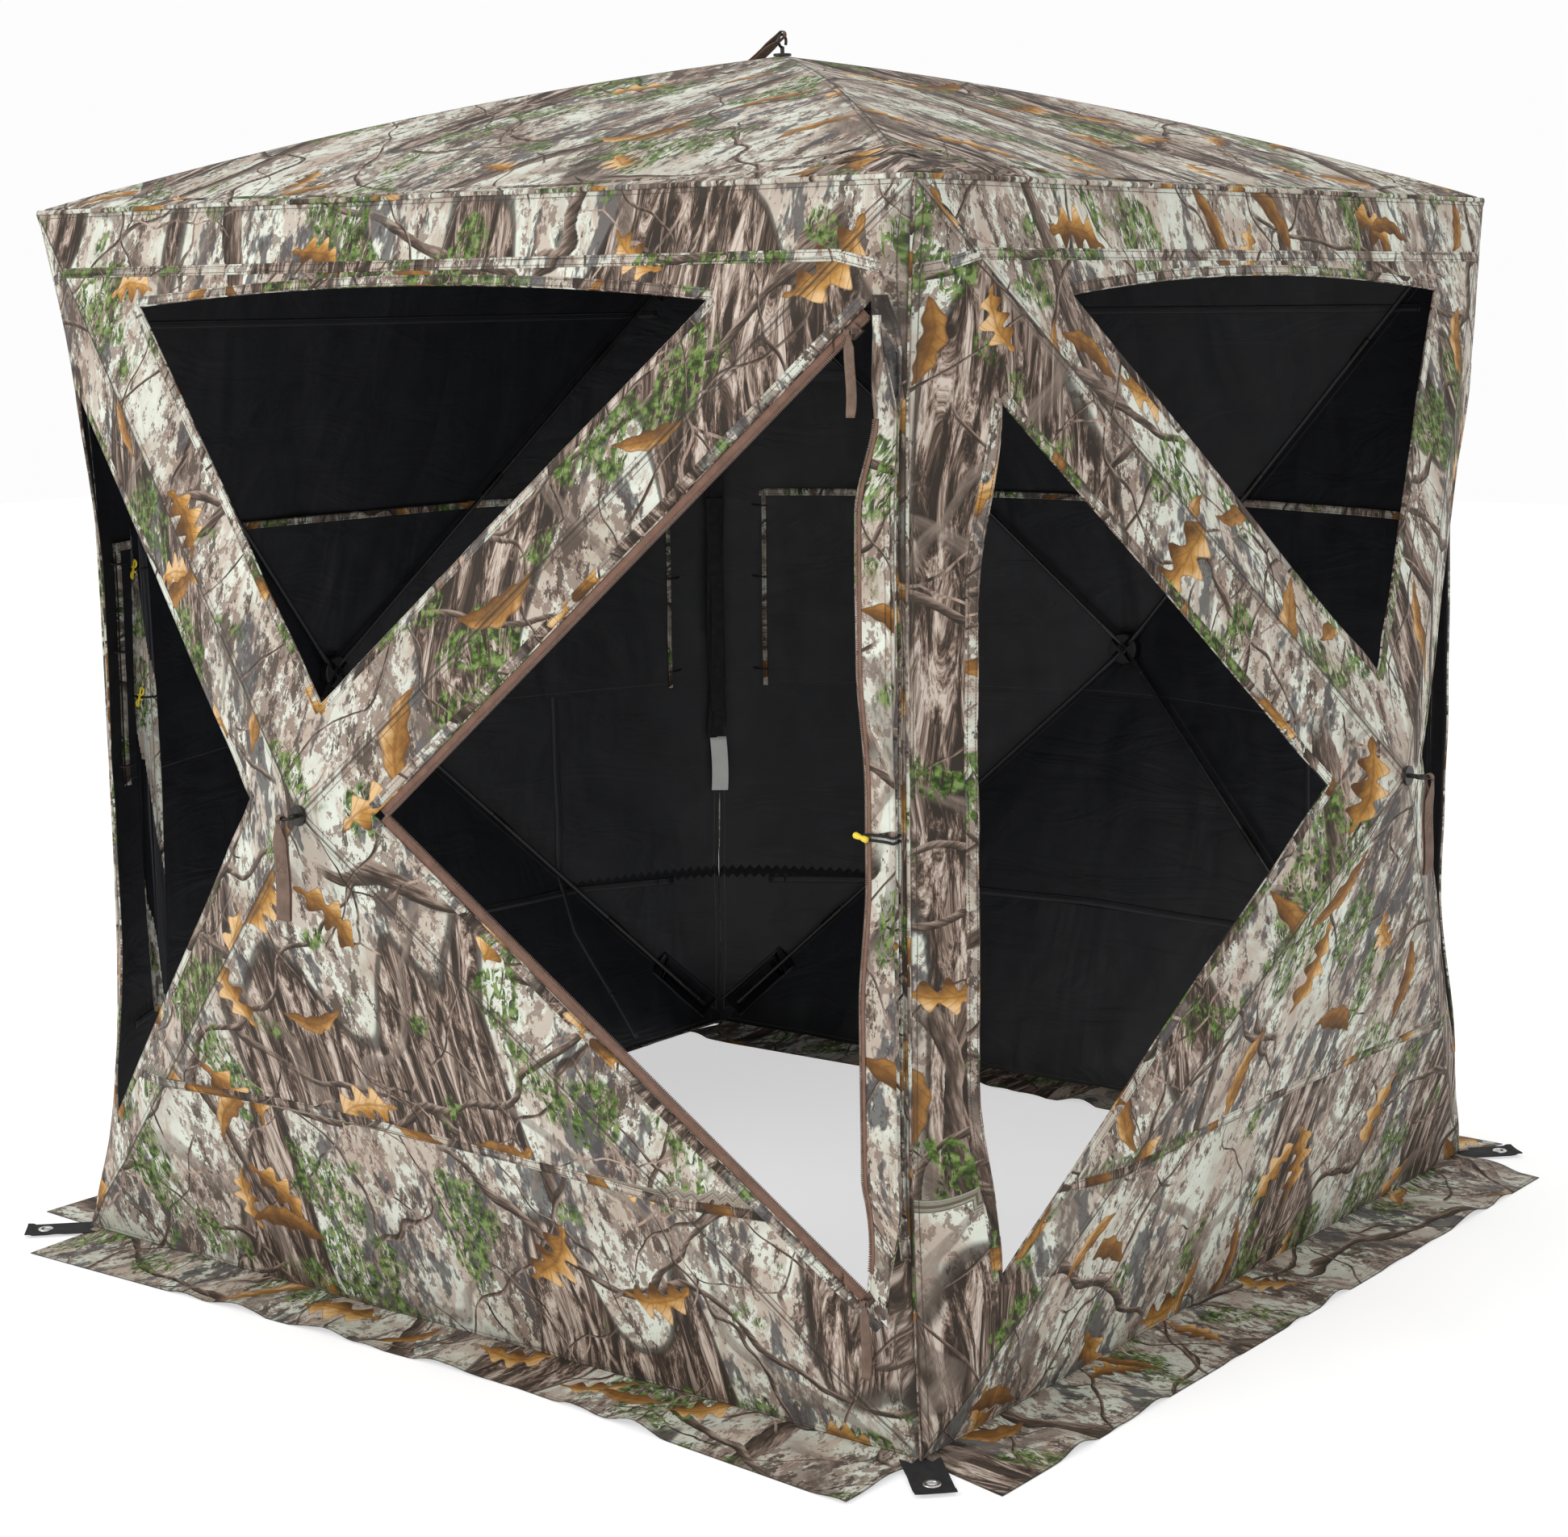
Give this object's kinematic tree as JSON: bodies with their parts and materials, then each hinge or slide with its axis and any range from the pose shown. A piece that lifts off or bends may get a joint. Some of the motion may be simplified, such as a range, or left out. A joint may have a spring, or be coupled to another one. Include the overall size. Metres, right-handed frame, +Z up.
{
  "type": "pop-up ground blind",
  "caption": "Square pop-up hide with camouflage fabric panels pushed out by hub-and-rod frames, triangular windows, a zipped door, ground skirts and stake tabs.",
  "frame": {"origin": "on the ground, at the middle of the footprint", "axes": "+Z up; the door wall faces -Y and the other open wall faces +X"},
  "size_m": [2.0676, 2.0676, 1.7377],
  "materials": {
    "camo_fabric": "printed polyester, matt",
    "black_lining": "black coated polyester",
    "hub_plastic": "black moulded nylon",
    "dark_steel": "blackened steel",
    "fibreglass": "black fibreglass with metal ferrules",
    "brown_webbing": "woven webbing",
    "black_webbing": "woven webbing and elastic",
    "zip_tape": "woven zip tape with coil teeth"
  },
  "bodies": {
    "root": {"front_wall": "camo_fabric", "right_wall": "camo_fabric", "back_wall": "camo_fabric", "left_wall": "camo_fabric", "roof": "camo_fabric", "front_skirt": "camo_fabric", "right_skirt": "camo_fabric", "back_skirt": "camo_fabric", "left_skirt": "camo_fabric", "stake_tab_front_right": "black_webbing", "stake_tab_back_right": "black_webbing", "stake_tab_back_left": "black_webbing", "stake_tab_front_left": "black_webbing", "door_flap": "camo_fabric", "door_tie": "black_webbing", "left_window_cover": "camo_fabric", "back_curtain": "black_lining", "left_curtain": "black_lining", "door_zip_upper": "zip_tape", "door_zip_lower": "zip_tape"},
    "roof_hub": {"roof_hub": "hub_plastic", "roof_hook_bolt": "dark_steel"},
    "roof_rod_upper_right": {"roof_rod_upper_right": "fibreglass"},
    "roof_rod_upper_left": {"roof_rod_upper_left": "fibreglass"},
    "roof_rod_lower_left": {"roof_rod_lower_left": "fibreglass"},
    "roof_rod_lower_right": {"roof_rod_lower_right": "fibreglass"},
    "roof_pull_strap": {"roof_pull_strap": "brown_webbing"},
    "front_hub": {"front_hub": "hub_plastic", "front_hook_bolt": "dark_steel"},
    "front_rod_upper_right": {"front_rod_upper_right": "fibreglass"},
    "front_rod_upper_left": {"front_rod_upper_left": "fibreglass"},
    "front_rod_lower_left": {"front_rod_lower_left": "fibreglass"},
    "front_rod_lower_right": {"front_rod_lower_right": "fibreglass"},
    "front_pull_strap": {"front_pull_strap": "brown_webbing"},
    "right_hub": {"right_hub": "hub_plastic", "right_hook_bolt": "dark_steel"},
    "right_rod_upper_right": {"right_rod_upper_right": "fibreglass"},
    "right_rod_upper_left": {"right_rod_upper_left": "fibreglass"},
    "right_rod_lower_left": {"right_rod_lower_left": "fibreglass"},
    "right_rod_lower_right": {"right_rod_lower_right": "fibreglass"},
    "right_pull_strap": {"right_pull_strap": "brown_webbing"},
    "back_hub": {"back_hub": "hub_plastic", "back_hook_bolt": "dark_steel"},
    "back_rod_upper_right": {"back_rod_upper_right": "fibreglass"},
    "back_rod_upper_left": {"back_rod_upper_left": "fibreglass"},
    "back_rod_lower_left": {"back_rod_lower_left": "fibreglass"},
    "back_rod_lower_right": {"back_rod_lower_right": "fibreglass"},
    "back_pull_strap": {"back_pull_strap": "brown_webbing"},
    "left_hub": {"left_hub": "hub_plastic", "left_hook_bolt": "dark_steel"},
    "left_rod_upper_right": {"left_rod_upper_right": "fibreglass"},
    "left_rod_upper_left": {"left_rod_upper_left": "fibreglass"},
    "left_rod_lower_left": {"left_rod_lower_left": "fibreglass"},
    "left_rod_lower_right": {"left_rod_lower_right": "fibreglass"},
    "left_pull_strap": {"left_pull_strap": "brown_webbing"},
    "door_slider_upper": {"door_slider_upper": "dark_steel"},
    "door_pull_upper": {"door_pull_upper": "brown_webbing"},
    "door_slider_lower": {"door_slider_lower": "dark_steel"},
    "door_pull_lower": {"door_pull_lower": "brown_webbing"}
  },
  "joints": [
    {"name": "roof_hub_push", "type": "slide", "parent": "root", "child": "roof_hub", "axis": [0, 0, -1], "range_m": [0, 0.186], "deforming": ["roof"]},
    {"name": "roof_rod_upper_right_fold", "type": "hinge", "parent": "roof_hub", "child": "roof_rod_upper_right", "pos_m": [0.01202, 0.01202, 1.678], "axis": [0.7071, -0.7071, 0], "range_deg": [0, 10.8]},
    {"name": "roof_rod_upper_left_fold", "type": "hinge", "parent": "roof_hub", "child": "roof_rod_upper_left", "pos_m": [-0.01202, 0.01202, 1.678], "axis": [0.7071, 0.7071, 0], "range_deg": [0, 10.8]},
    {"name": "roof_rod_lower_left_fold", "type": "hinge", "parent": "roof_hub", "child": "roof_rod_lower_left", "pos_m": [-0.01202, -0.01202, 1.678], "axis": [-0.7071, 0.7071, 0], "range_deg": [0, 10.8]},
    {"name": "roof_rod_lower_right_fold", "type": "hinge", "parent": "roof_hub", "child": "roof_rod_lower_right", "pos_m": [0.01202, -0.01202, 1.678], "axis": [-0.7071, -0.7071, 0], "range_deg": [0, 10.8]},
    {"name": "roof_strap_swing", "type": "hinge", "parent": "roof_hub", "child": "roof_pull_strap", "pos_m": [0, 0, 1.732], "axis": [0, 1, 0], "range_deg": [0, 110]},
    {"name": "front_hub_push", "type": "slide", "parent": "root", "child": "front_hub", "axis": [0, 1, 0], "range_m": [0, 0.219], "deforming": ["front_wall", "door_zip_upper", "door_zip_lower"]},
    {"name": "front_rod_upper_right_fold", "type": "hinge", "parent": "front_hub", "child": "front_rod_upper_right", "pos_m": [0.01202, -0.974, 0.75202], "axis": [0.7071, 0, -0.7071], "range_deg": [0, 12.64]},
    {"name": "front_rod_upper_left_fold", "type": "hinge", "parent": "front_hub", "child": "front_rod_upper_left", "pos_m": [-0.01202, -0.974, 0.75202], "axis": [0.7071, 0, 0.7071], "range_deg": [0, 12.64]},
    {"name": "front_rod_lower_left_fold", "type": "hinge", "parent": "front_hub", "child": "front_rod_lower_left", "pos_m": [-0.01202, -0.974, 0.72798], "axis": [-0.7019, 0, 0.7122], "range_deg": [0, 12.72]},
    {"name": "front_rod_lower_right_fold", "type": "hinge", "parent": "front_hub", "child": "front_rod_lower_right", "pos_m": [0.01202, -0.974, 0.72798], "axis": [-0.7019, 0, -0.7122], "range_deg": [0, 12.72]},
    {"name": "front_strap_swing", "type": "hinge", "parent": "front_hub", "child": "front_pull_strap", "pos_m": [0, -1.028, 0.74], "axis": [-1, 0, 0], "range_deg": [-15, 150]},
    {"name": "right_hub_push", "type": "slide", "parent": "root", "child": "right_hub", "axis": [-1, 0, 0], "range_m": [0, 0.219], "deforming": ["right_wall"]},
    {"name": "right_rod_upper_right_fold", "type": "hinge", "parent": "right_hub", "child": "right_rod_upper_right", "pos_m": [0.974, 0.01202, 0.75202], "axis": [0, 0.7071, -0.7071], "range_deg": [0, 12.64]},
    {"name": "right_rod_upper_left_fold", "type": "hinge", "parent": "right_hub", "child": "right_rod_upper_left", "pos_m": [0.974, -0.01202, 0.75202], "axis": [0, 0.7071, 0.7071], "range_deg": [0, 12.64]},
    {"name": "right_rod_lower_left_fold", "type": "hinge", "parent": "right_hub", "child": "right_rod_lower_left", "pos_m": [0.974, -0.01202, 0.72798], "axis": [0, -0.7019, 0.7122], "range_deg": [0, 12.72]},
    {"name": "right_rod_lower_right_fold", "type": "hinge", "parent": "right_hub", "child": "right_rod_lower_right", "pos_m": [0.974, 0.01202, 0.72798], "axis": [0, -0.7019, -0.7122], "range_deg": [0, 12.72]},
    {"name": "right_strap_swing", "type": "hinge", "parent": "right_hub", "child": "right_pull_strap", "pos_m": [1.028, 0, 0.74], "axis": [0, -1, 0], "range_deg": [-15, 150]},
    {"name": "back_hub_push", "type": "slide", "parent": "root", "child": "back_hub", "axis": [0, -1, 0], "range_m": [0, 0.219], "deforming": ["back_wall", "back_curtain"]},
    {"name": "back_rod_upper_right_fold", "type": "hinge", "parent": "back_hub", "child": "back_rod_upper_right", "pos_m": [-0.01202, 0.974, 0.75202], "axis": [-0.7071, 0, -0.7071], "range_deg": [0, 12.64]},
    {"name": "back_rod_upper_left_fold", "type": "hinge", "parent": "back_hub", "child": "back_rod_upper_left", "pos_m": [0.01202, 0.974, 0.75202], "axis": [-0.7071, 0, 0.7071], "range_deg": [0, 12.64]},
    {"name": "back_rod_lower_left_fold", "type": "hinge", "parent": "back_hub", "child": "back_rod_lower_left", "pos_m": [0.01202, 0.974, 0.72798], "axis": [0.7019, 0, 0.7122], "range_deg": [0, 12.72]},
    {"name": "back_rod_lower_right_fold", "type": "hinge", "parent": "back_hub", "child": "back_rod_lower_right", "pos_m": [-0.01202, 0.974, 0.72798], "axis": [0.7019, 0, -0.7122], "range_deg": [0, 12.72]},
    {"name": "back_strap_swing", "type": "hinge", "parent": "back_hub", "child": "back_pull_strap", "pos_m": [0, 1.028, 0.74], "axis": [1, 0, 0], "range_deg": [-15, 150]},
    {"name": "left_hub_push", "type": "slide", "parent": "root", "child": "left_hub", "axis": [1, 0, 0], "range_m": [0, 0.219], "deforming": ["left_wall", "left_curtain"]},
    {"name": "left_rod_upper_right_fold", "type": "hinge", "parent": "left_hub", "child": "left_rod_upper_right", "pos_m": [-0.974, -0.01202, 0.75202], "axis": [0, -0.7071, -0.7071], "range_deg": [0, 12.64]},
    {"name": "left_rod_upper_left_fold", "type": "hinge", "parent": "left_hub", "child": "left_rod_upper_left", "pos_m": [-0.974, 0.01202, 0.75202], "axis": [0, -0.7071, 0.7071], "range_deg": [0, 12.64]},
    {"name": "left_rod_lower_left_fold", "type": "hinge", "parent": "left_hub", "child": "left_rod_lower_left", "pos_m": [-0.974, 0.01202, 0.72798], "axis": [0, 0.7019, 0.7122], "range_deg": [0, 12.72]},
    {"name": "left_rod_lower_right_fold", "type": "hinge", "parent": "left_hub", "child": "left_rod_lower_right", "pos_m": [-0.974, -0.01202, 0.72798], "axis": [0, 0.7019, -0.7122], "range_deg": [0, 12.72]},
    {"name": "left_strap_swing", "type": "hinge", "parent": "left_hub", "child": "left_pull_strap", "pos_m": [-1.028, 0, 0.74], "axis": [0, 1, 0], "range_deg": [-15, 150]},
    {"name": "door_zip_upper_run", "type": "slide", "parent": "front_rod_upper_right", "child": "door_slider_upper", "axis": [-0.6858, -0.2268, -0.6915], "range_m": [0, 0.7797]},
    {"name": "door_pull_upper_swing", "type": "hinge", "parent": "door_slider_upper", "child": "door_pull_upper", "pos_m": [0.68534, -0.78515, 1.32021], "axis": [-1, 0, 0], "range_deg": [-5, 120]},
    {"name": "door_zip_lower_run", "type": "slide", "parent": "front_rod_lower_right", "child": "door_slider_lower", "axis": [-0.7058, -0.2334, 0.6689], "range_m": [0, 0.8046]},
    {"name": "door_pull_lower_swing", "type": "hinge", "parent": "door_slider_lower", "child": "door_pull_lower", "pos_m": [0.69336, -0.7825, 0.19715], "axis": [-1, 0, 0], "range_deg": [-5, 120]}
  ],
  "couplings": [
    {"joint": "roof_rod_upper_right_fold", "follows": "roof_hub_push", "rad_per_m": 1.0084},
    {"joint": "roof_rod_upper_left_fold", "follows": "roof_hub_push", "rad_per_m": 1.0084},
    {"joint": "roof_rod_lower_left_fold", "follows": "roof_hub_push", "rad_per_m": 1.0084},
    {"joint": "roof_rod_lower_right_fold", "follows": "roof_hub_push", "rad_per_m": 1.0084},
    {"joint": "front_rod_upper_right_fold", "follows": "front_hub_push", "rad_per_m": 1.0031},
    {"joint": "front_rod_upper_left_fold", "follows": "front_hub_push", "rad_per_m": 1.0031},
    {"joint": "front_rod_lower_left_fold", "follows": "front_hub_push", "rad_per_m": 1.0101},
    {"joint": "front_rod_lower_right_fold", "follows": "front_hub_push", "rad_per_m": 1.0101},
    {"joint": "right_rod_upper_right_fold", "follows": "right_hub_push", "rad_per_m": 1.0031},
    {"joint": "right_rod_upper_left_fold", "follows": "right_hub_push", "rad_per_m": 1.0031},
    {"joint": "right_rod_lower_left_fold", "follows": "right_hub_push", "rad_per_m": 1.0101},
    {"joint": "right_rod_lower_right_fold", "follows": "right_hub_push", "rad_per_m": 1.0101},
    {"joint": "back_rod_upper_right_fold", "follows": "back_hub_push", "rad_per_m": 1.0031},
    {"joint": "back_rod_upper_left_fold", "follows": "back_hub_push", "rad_per_m": 1.0031},
    {"joint": "back_rod_lower_left_fold", "follows": "back_hub_push", "rad_per_m": 1.0101},
    {"joint": "back_rod_lower_right_fold", "follows": "back_hub_push", "rad_per_m": 1.0101},
    {"joint": "left_rod_upper_right_fold", "follows": "left_hub_push", "rad_per_m": 1.0031},
    {"joint": "left_rod_upper_left_fold", "follows": "left_hub_push", "rad_per_m": 1.0031},
    {"joint": "left_rod_lower_left_fold", "follows": "left_hub_push", "rad_per_m": 1.0101},
    {"joint": "left_rod_lower_right_fold", "follows": "left_hub_push", "rad_per_m": 1.0101}
  ]
}
